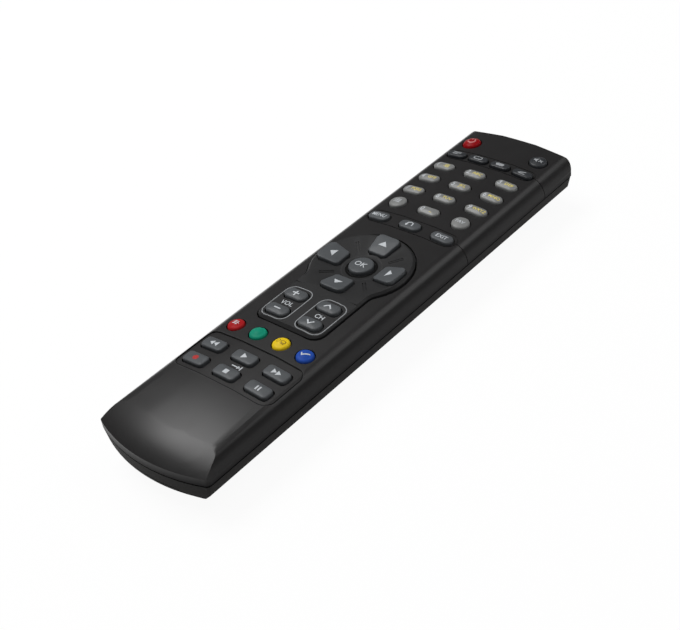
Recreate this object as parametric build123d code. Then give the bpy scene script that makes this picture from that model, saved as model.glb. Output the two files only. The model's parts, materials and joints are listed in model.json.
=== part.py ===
from build123d import *
import os
from math import asin, atan2, cos, degrees, hypot, radians, sin, sqrt

os.makedirs("parts", exist_ok=True)

# Remote control lying on its belly, keys up. Millimetres, +Z up, +Y towards the end that points at the
# television, +X to the right of someone holding it. The origin is the middle of the footprint.

# Case
length = 200.0
width = 48.0
wall = 1.8
top_room = 5.9            # from the board's underside to the ceiling: mat, travel and flanges
parting_z = 12.7          # where the two case halves meet
seam_gap = 0.4            # shadow line between the halves
# Sides and near end of the bottom case, from the parting line down to the belly: how far in, and how high
side_steps = ((0.0, 12.7), (1.1, 8.1), (7.76, 1.68), (9.67, 0.44), (11.92, 0.0))
near_steps = ((0.0, 12.7), (0.8, 6.5), (3.6, 2.9), (8.8, 0.0))
low_near_round = 2.2      # corners of the bottom case, and the turns of their flats from the long side
low_near_turns = (22.7, 45.3)
low_far_round = 2.2
low_far_turns = (27.0, 54.0)
near_radius = 64.0        # plan radius of the near end
far_radius = 250.0        # plan radius of the far end
near_corner = 1.6
far_corner = 1.6
far_edge_bevel = 0.6

# Cross-section of the top case
crown_margin = 4.0        # the crowned face ends this far in from the sides
crown_flat = 7.5          # half width of its level middle
crown_fall = 1.0          # from there to the shoulder
bend_margin = 1.8         # where the shoulder turns down the side
bend_drop = 2.4
shoulder_drop = 7.2       # foot of the shoulder, below the crown
shoulder_over = 0.15      # its foot runs out past the side, so that the two cross cleanly
shoulder_bulges = (0.10, 0.35)

# Slope at the near end
crease_back = 11.5        # from the near end to the crease
crease_radius = 68.0
slope_drop = 5.1          # from the top to the slope's lower edge
slope_bend = 11.3         # half of the angle through which the slope curves, in degrees

# Keys
key_stand = 1.3           # key tops above the case
key_gap = 0.3             # clearance round a key in its hole
key_travel = 0.8
corner_flats = 4          # flats in a quarter turn of a key's outline
flange_margin = 0.9
function_flange_margin = 0.4   # the function keys sit closer together
flange_thick = 0.7
flange_gap = 0.3          # below the ceiling
stem_size = (2.6, 2.0)   # pushes the dome of the mat

column_pitch = 14.0
digit_pitch = 9.4
digit_top_y = 70.2        # row of 1, 2 and 3
digit_size = (9.2, 4.6)
round_key = 6.9
power_y = 89.5
power_x = 15.1
power_diameter = 7.4
power_rise = 0.5
function_y = 79.5
function_pitch = 9.86
function_size = (8.4, 3.8)
menu_y = 31.2
menu_size = (9.0, 4.7)
ok_y = 4.0
ok_diameter = 9.2
ok_drop = 0.43
arrow_inner = 8.3
arrow_rim = 1.5           # panel left outside the arrow keys
arrow_half_inner = 3.7
arrow_half_outer = 5.0
arrow_corner = 1.2
arrow_flats = 4           # flats in the bowed side of an arrow key
arrow_inner_drop = 0.75   # arrow tops slope up from the middle of the dish
arrow_outer_rise = 1.2
rocker_x = 7.17
rocker_top_y = -21.0
rocker_pitch = 9.3
rocker_size = (9.2, 5.0)
rocker_corner = 2.1
rocker_rise = 0.65
colour_y = -42.1
colour_pitch = 10.18
colour_diameter = 6.3
playback_x = 13.85
playback_top_y = -53.5
playback_pitch = 8.4
playback_size = (9.4, 5.0)
playback_corner = 1.3
playback_drop = 0.33

# Shallow pocket round the playback keys
pocket_over = 0.8         # it runs past the crowned face
pocket_near = -66.3
pocket_far = -47.6
pocket_corner = 3.5
pocket_depth = 0.35

# Fine grooves: a loop round each of two key rows, and one from its ends over the shoulders
groove_width = 0.3
groove_depth = 0.3
loop_margin = 0.4         # inside the edge of the crowned face
loops = ((31.8, 3.8), (80.0, 3.3))   # middle and half width along Y

# Navigation panel
panel_radius = 18.5
panel_half = 14.0
panel_near = -35.2
panel_corner = 4.0
panel_neck = 6.0          # radius of the neck between circle and foot
panel_flats = (14, 4, 4)  # flats in half the circle, in a neck and in a corner
panel_gap = 0.55
panel_rise = 0.85
panel_bevel = 0.75
bevel_reach = 1.2         # the bevel is made this high and then cut off by the panel's top
panel_flange = 1.2
panel_flange_thick = 0.8
dish_margin = 1.3         # level rim round the dish
dish_stand = 0.65         # the rim above the case
dish_depth = 1.5
dish_floor_radius = 7.0
dish_flats = 36
ray_start = 1.0           # pairs of short grooves between the arrow keys, past their inner ends
ray_stop = 2.6            # and short of the dish's edge
ray_pitch = 0.9
panel_line_in = 0.2       # step between the dish and the foot, inside the circle's near edge

# Board and mat
board_gap = 0.5           # above the cells
board_thick = 1.2
board_margin = 1.8        # inside the walls
board_over_bay = 10.0     # the board starts this far past the bay's near end
board_back = 6.0          # from the far end
board_corner = 3.0
mat_thick = 1.0
mat_margin = 0.4          # inside the board's sides
mat_back = 3.5            # from the board's far end
mat_start = 1.0           # and from its near end
case_fit = 0.15           # between pieces that are fixed to each other

# Cells and their bay
cell_radius = 5.2
cell_length = 44.5
cell_nub_radius = 1.9
cell_nub = 0.8
cell_gap = 0.7            # between the two
cell_lift = 0.6           # above the cover
bay_back = 19.0           # from the near end to the bay
bay_wall = 1.2
leaf_reach = 3.6          # how far a leaf spring stands out of its contact
leaf_width = 4.0
contact_thick = 0.4
contact_margin = 0.9      # contacts are square plates, this much smaller all round than their cell

# Battery cover
cover_lap = 0.95          # the cover is wider than the bay by this at each side
cover_past_bay = 3.9
cover_thick = 1.5
cover_top_z = 7.5
cover_gap = 0.3
cover_play = 0.2          # least room between the cover's skin and the bay's walls
cover_tongue = 1.0
tongue_low_z = 0.8
skin_under_tongue = 0.5
grip_length = 13.0
grip_width = 0.8
grip_depth = 0.5
grip_pitch = 1.9
grip_count = 6

# Screws
screw_x = 7.5
boss_gap = 0.2            # between the bosses and the bay's wall
screw_radius = 1.0
screw_head_radius = 1.9
screw_head = 1.3
screw_gap = 0.2
screw_top_z = 16.0
boss_radius = 2.8
post_half = 1.0
post_places = ((-7, 65.5), (7, 65.5), (-7, 25.4), (7, 25.4), (-7, -48.1), (7, -48.1))
rib_thick = 1.2
rib_places = (-10.0, 20.0, 50.0, 80.0)
lip_thick = 0.9
lip_height = 1.2

# Parts under the board
chip_place = (-4.0, 35.0)
chip_size = (13.0, 7.5, 2.3)
chip_legs = 8
chip_leg_pitch = 1.5
resonator_place = (10.0, 36.0)
capacitor_place = (-8.0, 5.0)
capacitor_size = (2.5, 7.0)
transistor_place = (6.0, 66.0)

# Infrared end
window_half = 11.0
window_over_led = 1.2     # above the middle of the lamp
window_thick = 1.4
led_radius = 1.5
led_length = 5.2
led_gap = 0.8             # between the lamp and the window
led_stand = 2.0           # above the board
led_leg_pitch = 1.6

cell_pitch = 2 * cell_radius + cell_gap
cell_z = cover_thick + cell_lift + cell_radius
contact_half = cell_radius - contact_margin
board_z = cell_z + cell_radius + board_gap
case_top = board_z + top_room + wall    # highest line of the top case
crown_half = width / 2 - crown_margin
bend_half = width / 2 - bend_margin
crease_apex = crease_back - length / 2
slope_edge_z = case_top - slope_drop
key_top = case_top + key_stand
pocket_half = crown_half + pocket_over
loop_half = crown_half - loop_margin
arrow_outer = panel_radius - arrow_rim
dish_radius = panel_radius - dish_margin
dish_rim = case_top + dish_stand
ray_reach = (arrow_inner + ray_start, dish_radius - ray_stop)
panel_line = ok_y - panel_radius + panel_line_in
board_top = board_z + board_thick
mat_top = board_top + mat_thick
stem_low = mat_top + key_travel + 0.1
bay_near = bay_back - length / 2
bay_length = cell_length + leaf_reach + 2 * contact_thick + 0.2
bay_far = bay_near + bay_length
bay_half = cell_pitch / 2 + cell_radius + cover_gap
board_half = width / 2 - wall - board_margin
board_near = bay_near + board_over_bay
board_far = length / 2 - board_back
mat_half = board_half - mat_margin
mat_far = board_far - mat_back
cover_half = bay_half + cover_lap
cover_far = bay_far + cover_past_bay
screw_y = bay_near - bay_wall - boss_gap - boss_radius
led_tip = length / 2 - window_thick - led_gap
led_z = board_top + led_stand
window_top_z = led_z + window_over_led


def crown_drop(x):
    """How far the crowned face has fallen at x."""
    return max(abs(x) - crown_flat, 0) * crown_fall / (crown_half - crown_flat)


def block(x0, x1, y0, y1, z0, z1):
    return Pos((x0 + x1) / 2, (y0 + y1) / 2, (z0 + z1) / 2) * Box(x1 - x0, y1 - y0, z1 - z0)


def prism(face, z0, z1):
    return extrude(Pos(0, 0, z0) * face, amount=z1 - z0)


def outline(inset, near_round=near_corner, far_round=far_corner):
    """Plan of the case, drawn in by inset."""
    half = width / 2 - inset
    near, far = -length / 2 + inset, length / 2 - inset
    near_r, far_r = near_radius - inset, far_radius - inset
    near_side = near + near_r - sqrt(near_r ** 2 - half ** 2)
    far_side = far - far_r + sqrt(far_r ** 2 - half ** 2)
    face = make_face([
        ThreePointArc((-half, near_side), (0, near), (half, near_side)),
        Line((half, near_side), (half, far_side)),
        ThreePointArc((half, far_side), (0, far), (-half, far_side)),
        Line((-half, far_side), (-half, near_side)),
    ])
    face = fillet(face.vertices().sort_by(Axis.Y)[:2], max(near_round - inset, 0.4))
    return fillet(face.vertices().sort_by(Axis.Y)[-2:], max(far_round - inset, 0.4))


def bulged(start, end, bulge):
    """Arc from start to end that stands out by bulge at its middle."""
    dx, dz = end[0] - start[0], end[1] - start[1]
    chord = hypot(dx, dz)
    middle = ((start[0] + end[0]) / 2 - dz / chord * bulge, (start[1] + end[1]) / 2 + dx / chord * bulge)
    return ThreePointArc(start, middle, end)


def crowned(inset):
    """Body of the case's cross-section, drawn in by inset, over the whole length."""
    edge = (crown_half, case_top - crown_drop(crown_half))
    bend = (bend_half, case_top - bend_drop)
    foot = (width / 2 + shoulder_over, case_top - shoulder_drop)
    right = [bulged(edge, bend, shoulder_bulges[0]), bulged(bend, foot, shoulder_bulges[1])]
    right.append(Line(foot, (foot[0], -2)))
    left = [mirror(part, Plane.YZ) for part in right]
    crown = Polyline((-edge[0], edge[1]), (-crown_flat, case_top), (crown_flat, case_top), edge)
    face = make_face([crown, *right, Line((foot[0], -2), (-foot[0], -2)), *left])
    if inset:
        face = offset(face, -inset, kind=Kind.INTERSECTION)
    return extrude(Plane.XZ * face, amount=length, both=True)


def slope_section(x):
    """What the near-end slope takes away, in the upright plane at x."""
    crease_y = crease_apex + crease_radius - sqrt(crease_radius ** 2 - x ** 2)
    crease_z = case_top - crown_drop(x)
    edge_y = -length / 2 + near_radius - sqrt(near_radius ** 2 - x ** 2)
    drop, run = crease_z - slope_edge_z, crease_y - edge_y
    mean = atan2(drop, run)
    bend = radians(slope_bend)
    radius = hypot(drop, run) / 2 / sin(bend)
    centre_y = crease_y + radius * sin(mean - bend)
    centre_z = crease_z - radius * cos(mean - bend)
    angles = (mean + bend * 1.45, mean, mean - bend * 1.45)
    low, middle, high = [(centre_y - radius * sin(a), centre_z + radius * cos(a)) for a in angles]
    roof = case_top + 8
    face = make_face([
        ThreePointArc(low, middle, high),
        Polyline(high, (high[0], roof), (low[0], roof), low),
    ])
    return Plane.YZ.offset(x) * face


def upper_block(inset, low_z):
    """Outside of the top case, drawn in by inset."""
    step = width * 0.27
    slope = loft([slope_section(x) for x in (-2 * step, -step, 0, step, 2 * step)])
    lean = atan2(case_top - slope_edge_z, crease_apex + length / 2)
    slope = Pos(0, inset * sin(lean), -inset * cos(lean)) * slope
    return (prism(outline(inset), low_z, case_top + 5) & crowned(inset)) - slope


def leaning(reach, steps, inset, roof):
    """Everything to the left of a wall that has these steps, drawn in by inset."""
    wall_side = [(reach - step, z) for step, z in ((0, roof), *steps)]
    face = make_face(Polyline(*wall_side, (-2 * length, 0), (-2 * length, roof), close=True))
    face = offset(face, -inset, kind=Kind.INTERSECTION)
    return extrude(Plane.XZ * face, amount=2 * length, both=True)


def lower_block(inset, top_z):
    """Outside of the bottom case, drawn in by inset, with its corners in flats."""
    roof = top_z + 10
    body = block(-width, width, -length, length, inset, top_z)
    for turn in (0, 180):
        body &= Rot(0, 0, turn) * leaning(width / 2, side_steps, inset, roof)
    ends = (
        (near_radius, -1, near_steps, low_near_round, low_near_turns),
        (far_radius, 1, side_steps, low_far_round, low_far_turns),
    )
    for radius, towards, steps, rounding, turns in ends:
        outside = [(radius - step, z) for step, z in ((0, roof), *steps)]
        face = make_face(Polyline(*outside, (0, 0), (0, roof), close=True))
        face = offset(face, -inset, kind=Kind.INTERSECTION)
        centre_y = towards * (length / 2 - radius)
        end = Pos(0, centre_y, 0) * revolve(Plane.XZ * face)
        span = sorted((centre_y + towards * (inset + 5), -towards * length))
        body &= end + block(-width, width, *span, -1, roof)
        corner_x = width / 2 - rounding
        corner_y = centre_y + towards * sqrt((radius - rounding) ** 2 - corner_x ** 2)
        for turn in turns:
            reach = corner_x * cos(radians(turn)) + abs(corner_y) * sin(radians(turn)) + rounding
            for angle in (towards * turn, 180 - towards * turn):
                body &= Rot(0, 0, angle) * leaning(reach, steps, inset, roof)
    return body


def turned(middle, radius, start, end, flats):
    """Points on an arc, from start to end in degrees."""
    angles = [radians(start + (end - start) * i / flats) for i in range(flats + 1)]
    return [(middle[0] + radius * cos(a), middle[1] + radius * sin(a)) for a in angles]


def banded(low, low_z, high, high_z):
    """Solid between two level outlines whose corners match and whose sides run alike."""
    low = [(x, y, low_z) for x, y in low]
    high = [(x, y, high_z) for x, y in high]
    sides = [(low[i - 1], low[i], high[i], high[i - 1]) for i in range(len(low))]
    return Solid(Shell([Face(Wire.make_polygon(points)) for points in (low, high, *sides)]))


def rounded_plan(size, corner, grow=0.0):
    """Rectangle whose corners turn in a few flats, which keeps forty keys and their holes light."""
    points = []
    for quarter, (side_x, side_y) in enumerate(((1, 1), (-1, 1), (-1, -1), (1, -1))):
        middle = Vector(side_x * (size[0] / 2 - corner), side_y * (size[1] / 2 - corner))
        for step in range(corner_flats + 1):
            point = middle + Vector(corner + grow, 0).rotate(Axis.Z, 90 * (quarter + step / corner_flats))
            if not points or (point - points[-1]).length > 0.01:
                points.append(point)
    if (points[0] - points[-1]).length < 0.01:
        points.pop()
    return make_face(Polyline(*points, close=True))


def slot_plan(size, grow=0.0):
    return rounded_plan(size, size[1] / 2, grow)


def round_plan(diameter, grow=0.0):
    return rounded_plan((diameter, diameter), diameter / 2, grow)


def arrow_plan(grow=0.0):
    """Fan shape above the middle of the dish: hollow towards OK, bowed outside."""
    outer_turn = degrees(asin(arrow_half_outer / arrow_outer))
    inner_turn = degrees(asin(arrow_half_inner / arrow_inner))
    outer = turned((0, 0), arrow_outer, 90 - outer_turn, 90 + outer_turn, arrow_flats)
    inner = turned((0, 0), arrow_inner, 90 + inner_turn, 90 - inner_turn, arrow_flats // 2)
    face = make_face(Polyline(*outer, *inner, close=True))
    ends = (outer[0], outer[-1], inner[0], inner[-1])
    corners = face.vertices().filter_by(lambda v: min(hypot(v.X - x, v.Y - y) for x, y in ends) < 0.01)
    face = chamfer(corners, arrow_corner)
    return offset(face, grow, kind=Kind.INTERSECTION) if grow else face


def ceiling(x, under_panel):
    """Height of the underside that a key's flange stays below."""
    lining = panel_flange_thick if under_panel else 0
    return case_top - wall - crown_drop(x) - lining


def make_key(plan, x, y, reach, top_z, lean, under_panel, turn=0.0):
    """Cap, flange and stem in one. reach is the flange's box in the key's own frame."""
    x0, x1, y0, y1 = reach
    place = Pos(x, y, 0) * Rot(0, 0, turn)
    corners = [place * Pos(cx, cy, 0) for cx in (x0, x1) for cy in (y0, y1)]
    flange_top = ceiling(max(abs(c.position.X) for c in corners), under_panel) - flange_gap
    flange_low = flange_top - flange_thick
    cap = extrude(Pos(0, 0, flange_low) * plan, amount=top_z + 3 - flange_low)
    cap = split(cap, bisect_by=lean, keep=Keep.BOTTOM)
    mid_x, mid_y = (x0 + x1) / 2, (y0 + y1) / 2
    flange = block(x0, x1, y0, y1, flange_low, flange_top)
    stem = block(mid_x - stem_size[0] / 2, mid_x + stem_size[0] / 2,
                 mid_y - stem_size[1] / 2, mid_y + stem_size[1] / 2, stem_low, flange_low)
    return place * (cap + flange + stem)


def flange_reach(size, margin):
    half_x, half_y = size[0] / 2 + margin, size[1] / 2 + margin
    return (-half_x, half_x, -half_y, half_y)


keys = {}
case_holes = []
panel_holes = []


def add_key(name, plan, hole, size, x, y, rise=0.0, on_panel=False, margin=flange_margin):
    """A key whose top follows the crown of the case."""
    top_z = key_top - crown_drop(x) + rise
    lean = Plane(origin=(0, 0, top_z), z_dir=(crown_drop(x + 1) - crown_drop(x - 1), 0, 2))
    keys[name] = make_key(plan, x, y, flange_reach(size, margin), top_z, lean, on_panel)
    (panel_holes if on_panel else case_holes).append(Pos(x, y, 0) * hole)


for name, side in (("power_key", -1), ("mute_key", 1)):
    diameter = power_diameter if side < 0 else round_key
    rise = power_rise if side < 0 else 0.0
    add_key(name, round_plan(diameter), round_plan(diameter, key_gap), (diameter, diameter),
            side * power_x, power_y, rise)

for i in range(4):
    add_key(f"function_{i + 1}_key", slot_plan(function_size), slot_plan(function_size, key_gap),
            function_size, (i - 1.5) * function_pitch, function_y, margin=function_flange_margin)

for row in range(3):
    for column in range(3):
        add_key(f"digit_{row * 3 + column + 1}_key", slot_plan(digit_size), slot_plan(digit_size, key_gap),
                digit_size, (column - 1) * column_pitch, digit_top_y - row * digit_pitch)

zero_y = digit_top_y - 3 * digit_pitch
add_key("digit_0_key", slot_plan(digit_size), slot_plan(digit_size, key_gap), digit_size, 0, zero_y)
for name, side in (("list_key", -1), ("favourite_key", 1)):
    add_key(name, round_plan(round_key), round_plan(round_key, key_gap), (round_key, round_key),
            side * column_pitch, zero_y)

for name, side in (("menu_key", -1), ("back_key", 0), ("exit_key", 1)):
    add_key(name, slot_plan(menu_size), slot_plan(menu_size, key_gap), menu_size,
            side * column_pitch, menu_y)

add_key("ok_key", round_plan(ok_diameter), round_plan(ok_diameter, key_gap), (ok_diameter, ok_diameter),
        0, ok_y, -ok_drop, True)

arrow_reach = (-arrow_half_outer - flange_margin, arrow_half_outer + flange_margin,
               arrow_inner - flange_margin, arrow_outer + flange_margin)
arrow_slope = atan2(arrow_outer_rise + arrow_inner_drop, arrow_outer - arrow_inner)
for name, turn in (("up_key", 0), ("left_key", 90), ("down_key", 180), ("right_key", 270)):
    lean = Plane(origin=(0, arrow_inner, key_top - arrow_inner_drop),
                 z_dir=(0, -sin(arrow_slope), cos(arrow_slope)))
    keys[name] = make_key(arrow_plan(), 0, ok_y, arrow_reach, key_top + arrow_outer_rise, lean, True, turn)
    panel_holes.append(Pos(0, ok_y, 0) * Rot(0, 0, turn) * arrow_plan(key_gap))

rockers = (("volume_up_key", -1, 0), ("volume_down_key", -1, 1), ("channel_up_key", 1, 0),
           ("channel_down_key", 1, 1))
for name, side, row in rockers:
    add_key(name, rounded_plan(rocker_size, rocker_corner), rounded_plan(rocker_size, rocker_corner, key_gap),
            rocker_size, side * rocker_x, rocker_top_y - row * rocker_pitch, rocker_rise, True)

for i, colour in enumerate(("red", "green", "yellow", "blue")):
    add_key(f"{colour}_key", round_plan(colour_diameter), round_plan(colour_diameter, key_gap),
            (colour_diameter, colour_diameter), (i - 1.5) * colour_pitch, colour_y)

playback = (("rewind_key", "play_key", "fast_forward_key"), ("record_key", "stop_key", "pause_key"))
for row, names in enumerate(playback):
    for column, name in enumerate(names):
        add_key(name, rounded_plan(playback_size, playback_corner),
                rounded_plan(playback_size, playback_corner, key_gap), playback_size,
                (column - 1) * playback_x, playback_top_y - row * playback_pitch, -playback_drop)


def panel_points(grow):
    """Keyhole: a circle round the arrow keys, and a foot for volume and channel."""
    middle = (0, ok_y)
    neck_x = panel_half + panel_neck
    neck_y = ok_y - sqrt((panel_radius + panel_neck) ** 2 - neck_x ** 2)
    tangent = degrees(atan2(neck_y - ok_y, neck_x))
    circle, neck, corner = panel_flats
    right = turned(middle, panel_radius + grow, 90, tangent, circle)
    right += turned((neck_x, neck_y), panel_neck - grow, 180 + tangent, 180, neck)[1:]
    low_corner = (panel_half - panel_corner, panel_near + panel_corner)
    right += turned(low_corner, panel_corner + grow, 0, -90, corner)
    return right + [(-x, y) for x, y in reversed(right[1:])]


def panel_plan(grow=0.0):
    return make_face(Polyline(*panel_points(grow), close=True))


def make_panel():
    """Raised insert: flat rim and conical dish round OK, crowned foot, and a flange under the case."""
    plan = panel_plan()
    bevel_low = dish_rim - panel_bevel
    low_z = case_top - wall - crown_drop(panel_radius + panel_flange) - panel_flange_thick
    bevel = banded(panel_points(0), bevel_low, panel_points(-bevel_reach), bevel_low + bevel_reach)
    solid = prism(plan, low_z, bevel_low) + bevel
    far_part = solid & block(-width, width, panel_line, length, 0, dish_rim)
    near_part = solid & block(-width, width, -length, panel_line, 0, key_top)
    near_part &= Pos(0, 0, panel_rise) * crowned(0)
    dish_slope = degrees(atan2(dish_depth, dish_radius - dish_floor_radius))
    dish_low = turned((0, ok_y), dish_floor_radius, 0, 360, dish_flats)[1:]
    dish_high = turned((0, ok_y), dish_radius, 0, 360, dish_flats)[1:]
    panel = far_part + near_part - banded(dish_low, dish_rim - dish_depth, dish_high, dish_rim)
    ray_middle = sum(ray_reach) / 2
    ray_z = dish_rim - dish_depth * (dish_radius - ray_middle) / (dish_radius - dish_floor_radius)
    ray = Pos(ray_middle, 0, ray_z) * Rot(0, -dish_slope, 0) * Box(
        ray_reach[1] - ray_reach[0], groove_width, 2 * groove_depth)
    for turn in (45, 135, 225, 315):
        for side in (-ray_pitch / 2, ray_pitch / 2):
            panel -= Pos(0, ok_y, 0) * Rot(0, 0, turn) * Pos(0, side, 0) * ray
    flange = prism(panel_plan(panel_gap + panel_flange), low_z, case_top) & crowned(wall)
    above_crown = block(-width, width, -length, length, 0, 99) - crowned(0)
    flange &= Pos(0, 0, -wall - panel_flange_thick) * above_crown
    panel = panel - (block(-width, width, -length, length, 0, case_top) & crowned(wall + panel_flange_thick))
    return panel + flange - [prism(hole, 0, key_top + 3) for hole in panel_holes]


def far_cap(tilt, pivot_x):
    """Bevel along the far end's top edge, tilted with one of the three flats of the crown."""
    rise = 1.0
    outside = [(far_radius, -5), (far_radius, case_top - far_edge_bevel),
               (far_radius - far_edge_bevel - rise, case_top + rise), (0, case_top + rise), (0, -5)]
    cap = Pos(0, length / 2 - far_radius, 0) * revolve(Plane.XZ * make_face(Polyline(*outside, close=True)))
    return Pos(pivot_x, 0, case_top) * Rot(0, tilt, 0) * Pos(-pivot_x, 0, -case_top) * cap


def make_top_case():
    shell = upper_block(0, parting_z) & far_cap(0, 0)
    for side in (-1, 1):
        shell &= far_cap(side * degrees(atan2(crown_fall, crown_half - crown_flat)), side * crown_flat)
    shell -= upper_block(wall, parting_z - 1)
    pocket = RectangleRounded(2 * pocket_half, pocket_far - pocket_near, pocket_corner)
    pocket = prism(Pos(0, (pocket_near + pocket_far) / 2, 0) * pocket, parting_z, case_top + 1)
    shell -= pocket - crowned(pocket_depth)
    grooves = []
    for y, half_y in loops:
        size, inner = (2 * loop_half, 2 * half_y), 2 * groove_width
        loop = slot_plan(size) - slot_plan((size[0] - inner, size[1] - inner))
        grooves.append(prism(Pos(0, y, 0) * loop, parting_z, case_top + 1))
        start, half_groove = loop_half - groove_width / 2, groove_width / 2
        for x0, x1 in ((-width, -start), (start, width)):
            grooves.append(block(x0, x1, y - half_groove, y + half_groove, parting_z - 1, case_top + 1))
    shell -= [groove - crowned(groove_depth) for groove in grooves]
    holes = [panel_plan(panel_gap), *case_holes]
    shell -= [prism(hole, parting_z, case_top + 1) for hole in holes]
    lining = upper_block(wall / 2, parting_z - 1)
    for x, y in post_places:
        shell += block(x - post_half, x + post_half, y - post_half, y + post_half, mat_top, case_top) & lining
    for x in (-screw_x, screw_x):
        place = Pos(x, screw_y, 0)
        shell += prism(place * round_plan(2 * boss_radius), parting_z, case_top) & lining
        shell -= prism(place * round_plan(2 * screw_radius, 0.05), parting_z, screw_top_z + 0.5)
    return shell - block(-window_half - 0.1, window_half + 0.1, length / 2 - 4, length / 2 + 1,
                         parting_z - 1, window_top_z + 0.1)


def ring(outer, inner, z0, z1):
    return prism(outline(outer), z0, z1) - prism(outline(inner), z0, z1)


def cover_zone(gap):
    return block(-cover_half - gap, cover_half + gap, -length, cover_far + gap, -1, cover_top_z + gap)


def make_bottom_case():
    shell = lower_block(0, parting_z) & block(-width, width, -length, length, -1, parting_z - seam_gap)
    shell -= lower_block(wall, parting_z + 1)
    lip = wall + case_fit
    shell += ring(wall / 2, lip + lip_thick, parting_z - 2.5, parting_z - seam_gap)
    shell += ring(lip, lip + lip_thick, parting_z - seam_gap, parting_z + lip_height)
    seat = lower_block(cover_thick + 2 * cover_gap, parting_z)
    seat_zone = block(-cover_half - 3, cover_half + 3, -length, cover_far + 3, 0, cover_top_z + 2)
    seat_skin = lower_block(wall / 2, parting_z) - lower_block(cover_thick + 2 * cover_gap + wall, parting_z)
    shell += seat_skin & seat_zone
    shell -= cover_zone(cover_gap) - seat
    tongue_half = cover_half + cover_tongue + cover_gap
    shell -= block(-tongue_half, tongue_half, -length, cover_far + cover_tongue + cover_gap,
                   skin_under_tongue, cover_thick + cover_gap)
    core = lower_block(wall / 2, parting_z)
    bay = block(-bay_half, bay_half, bay_near, bay_far, 1, board_z)
    walls = block(-bay_half - bay_wall, bay_half + bay_wall, bay_near - bay_wall, bay_far + bay_wall,
                  wall, board_z)
    walls -= cover_zone(cover_gap) - lower_block(cover_thick + cover_play, parting_z)
    shell = shell + walls - bay
    for y in rib_places:
        shell += block(-width, width, y - rib_thick / 2, y + rib_thick / 2, wall / 2, board_z) & core
    for x in (-screw_x, screw_x):
        place = Pos(x, screw_y, 0)
        shell += prism(place * round_plan(2 * boss_radius), wall, parting_z)
        shell -= prism(place * round_plan(2 * screw_radius, screw_gap), 0, parting_z + 1)
        shell -= prism(place * round_plan(2 * screw_head_radius, screw_gap), 0, wall + screw_head + screw_gap)
    return shell


def make_cover():
    skin = (lower_block(0, parting_z) - lower_block(cover_thick, parting_z)) & cover_zone(0)
    half = cover_half + cover_tongue
    skin += block(-half, half, bay_near, cover_far + cover_tongue, tongue_low_z, cover_thick)
    for i in range(grip_count):
        y = cover_far - 5 - i * grip_pitch
        skin -= block(-grip_length / 2, grip_length / 2, y - grip_width, y, -1, grip_depth)
    return skin


def make_cell(x, start, towards):
    """A cell from its flat end at start, with its raised end towards +1 or -1 along Y."""
    can = extrude(round_plan(2 * cell_radius), amount=cell_length - cell_nub)
    nub = extrude(round_plan(2 * cell_nub_radius), amount=cell_length)
    return Pos(x, start, cell_z) * Rot(-90 * towards, 0, 0) * (can + nub)


def leaf_spring(x, face_y, towards):
    """Stamped strip, bent out of its contact plate towards the cell."""
    reach, t = leaf_reach, contact_thick
    profile = make_face(Polyline((0, -contact_half), (reach, 0.4), (reach, 1.4), (1.4, contact_half - 1),
                                 (1.4 - t, contact_half - 1), (reach - t, 1.2), (reach - t, 0.6),
                                 (0, -contact_half + 1.3), close=True))
    strip = extrude(Plane.YZ * profile, amount=leaf_width / 2, both=True)
    return Pos(x, face_y, cell_z) * (strip if towards > 0 else mirror(strip, Plane.XZ))


def plate(x0, x1, face_y, towards):
    y0, y1 = sorted((face_y - towards * contact_thick, face_y))
    return block(x0, x1, y0, y1, cell_z - contact_half, cell_z + contact_half)


def make_screws():
    low = wall + 0.1
    screws = []
    for x in (-screw_x, screw_x):
        place = Pos(x, screw_y, 0)
        head = prism(place * round_plan(2 * screw_head_radius), low, low + screw_head)
        screws.append(head + prism(place * round_plan(2 * screw_radius), low + screw_head, screw_top_z))
    return Compound(screws)


def make_led():
    base = led_tip - led_length
    lens = extrude(round_plan(2 * led_radius), amount=led_radius / 2, taper=45)
    barrel = extrude(round_plan(2 * led_radius), amount=led_length - led_radius / 2)
    lens = Pos(0, 0, led_length - led_radius / 2) * lens
    body = Pos(0, base, led_z) * Rot(-90, 0, 0) * (barrel + lens)
    for x in (-led_leg_pitch / 2, led_leg_pitch / 2):
        body += block(x - 0.25, x + 0.25, base - 0.8, base, board_top, led_z + 0.25)
    return body


def make_chip():
    x, y = chip_place
    body = block(x - chip_size[0] / 2, x + chip_size[0] / 2, y - chip_size[1] / 2, y + chip_size[1] / 2,
                 board_z - 0.15 - chip_size[2], board_z - 0.15)
    for i in range(chip_legs):
        leg_x = x + (i - (chip_legs - 1) / 2) * chip_leg_pitch
        body += block(leg_x - 0.3, leg_x + 0.3, y - chip_size[1] / 2 - 1.1, y + chip_size[1] / 2 + 1.1,
                      board_z - 0.4, board_z)
    return body


def make_capacitor():
    x, y = capacitor_place
    radius, length_x = capacitor_size
    return Pos(x - length_x / 2, y, board_z - radius) * Rot(0, 90, 0) * extrude(
        round_plan(2 * radius), amount=length_x)


def make_transistor():
    x, y = transistor_place
    body = round_plan(4.6) & Pos(0, -0.7, 0) * Rectangle(6, 4)
    return prism(Pos(x, y, 0) * body, board_z - 4.6, board_z)


def make_board():
    plan = Pos(0, (board_near + board_far) / 2, 0) * Rectangle(2 * board_half, board_far - board_near)
    plan = chamfer(plan.vertices().sort_by(Axis.Y)[-2:], board_corner)
    return prism(plan, board_z, board_top)


def make_mat():
    y0, y1 = board_near + mat_start, mat_far
    return block(-mat_half, mat_half, y0, y1, board_top, mat_top)


def make_window():
    zone = block(-window_half, window_half, length / 2 - 4, length / 2 + 1,
                 parting_z - seam_gap, window_top_z)
    return ring(0, window_thick, parting_z - seam_gap, window_top_z) & zone


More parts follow.
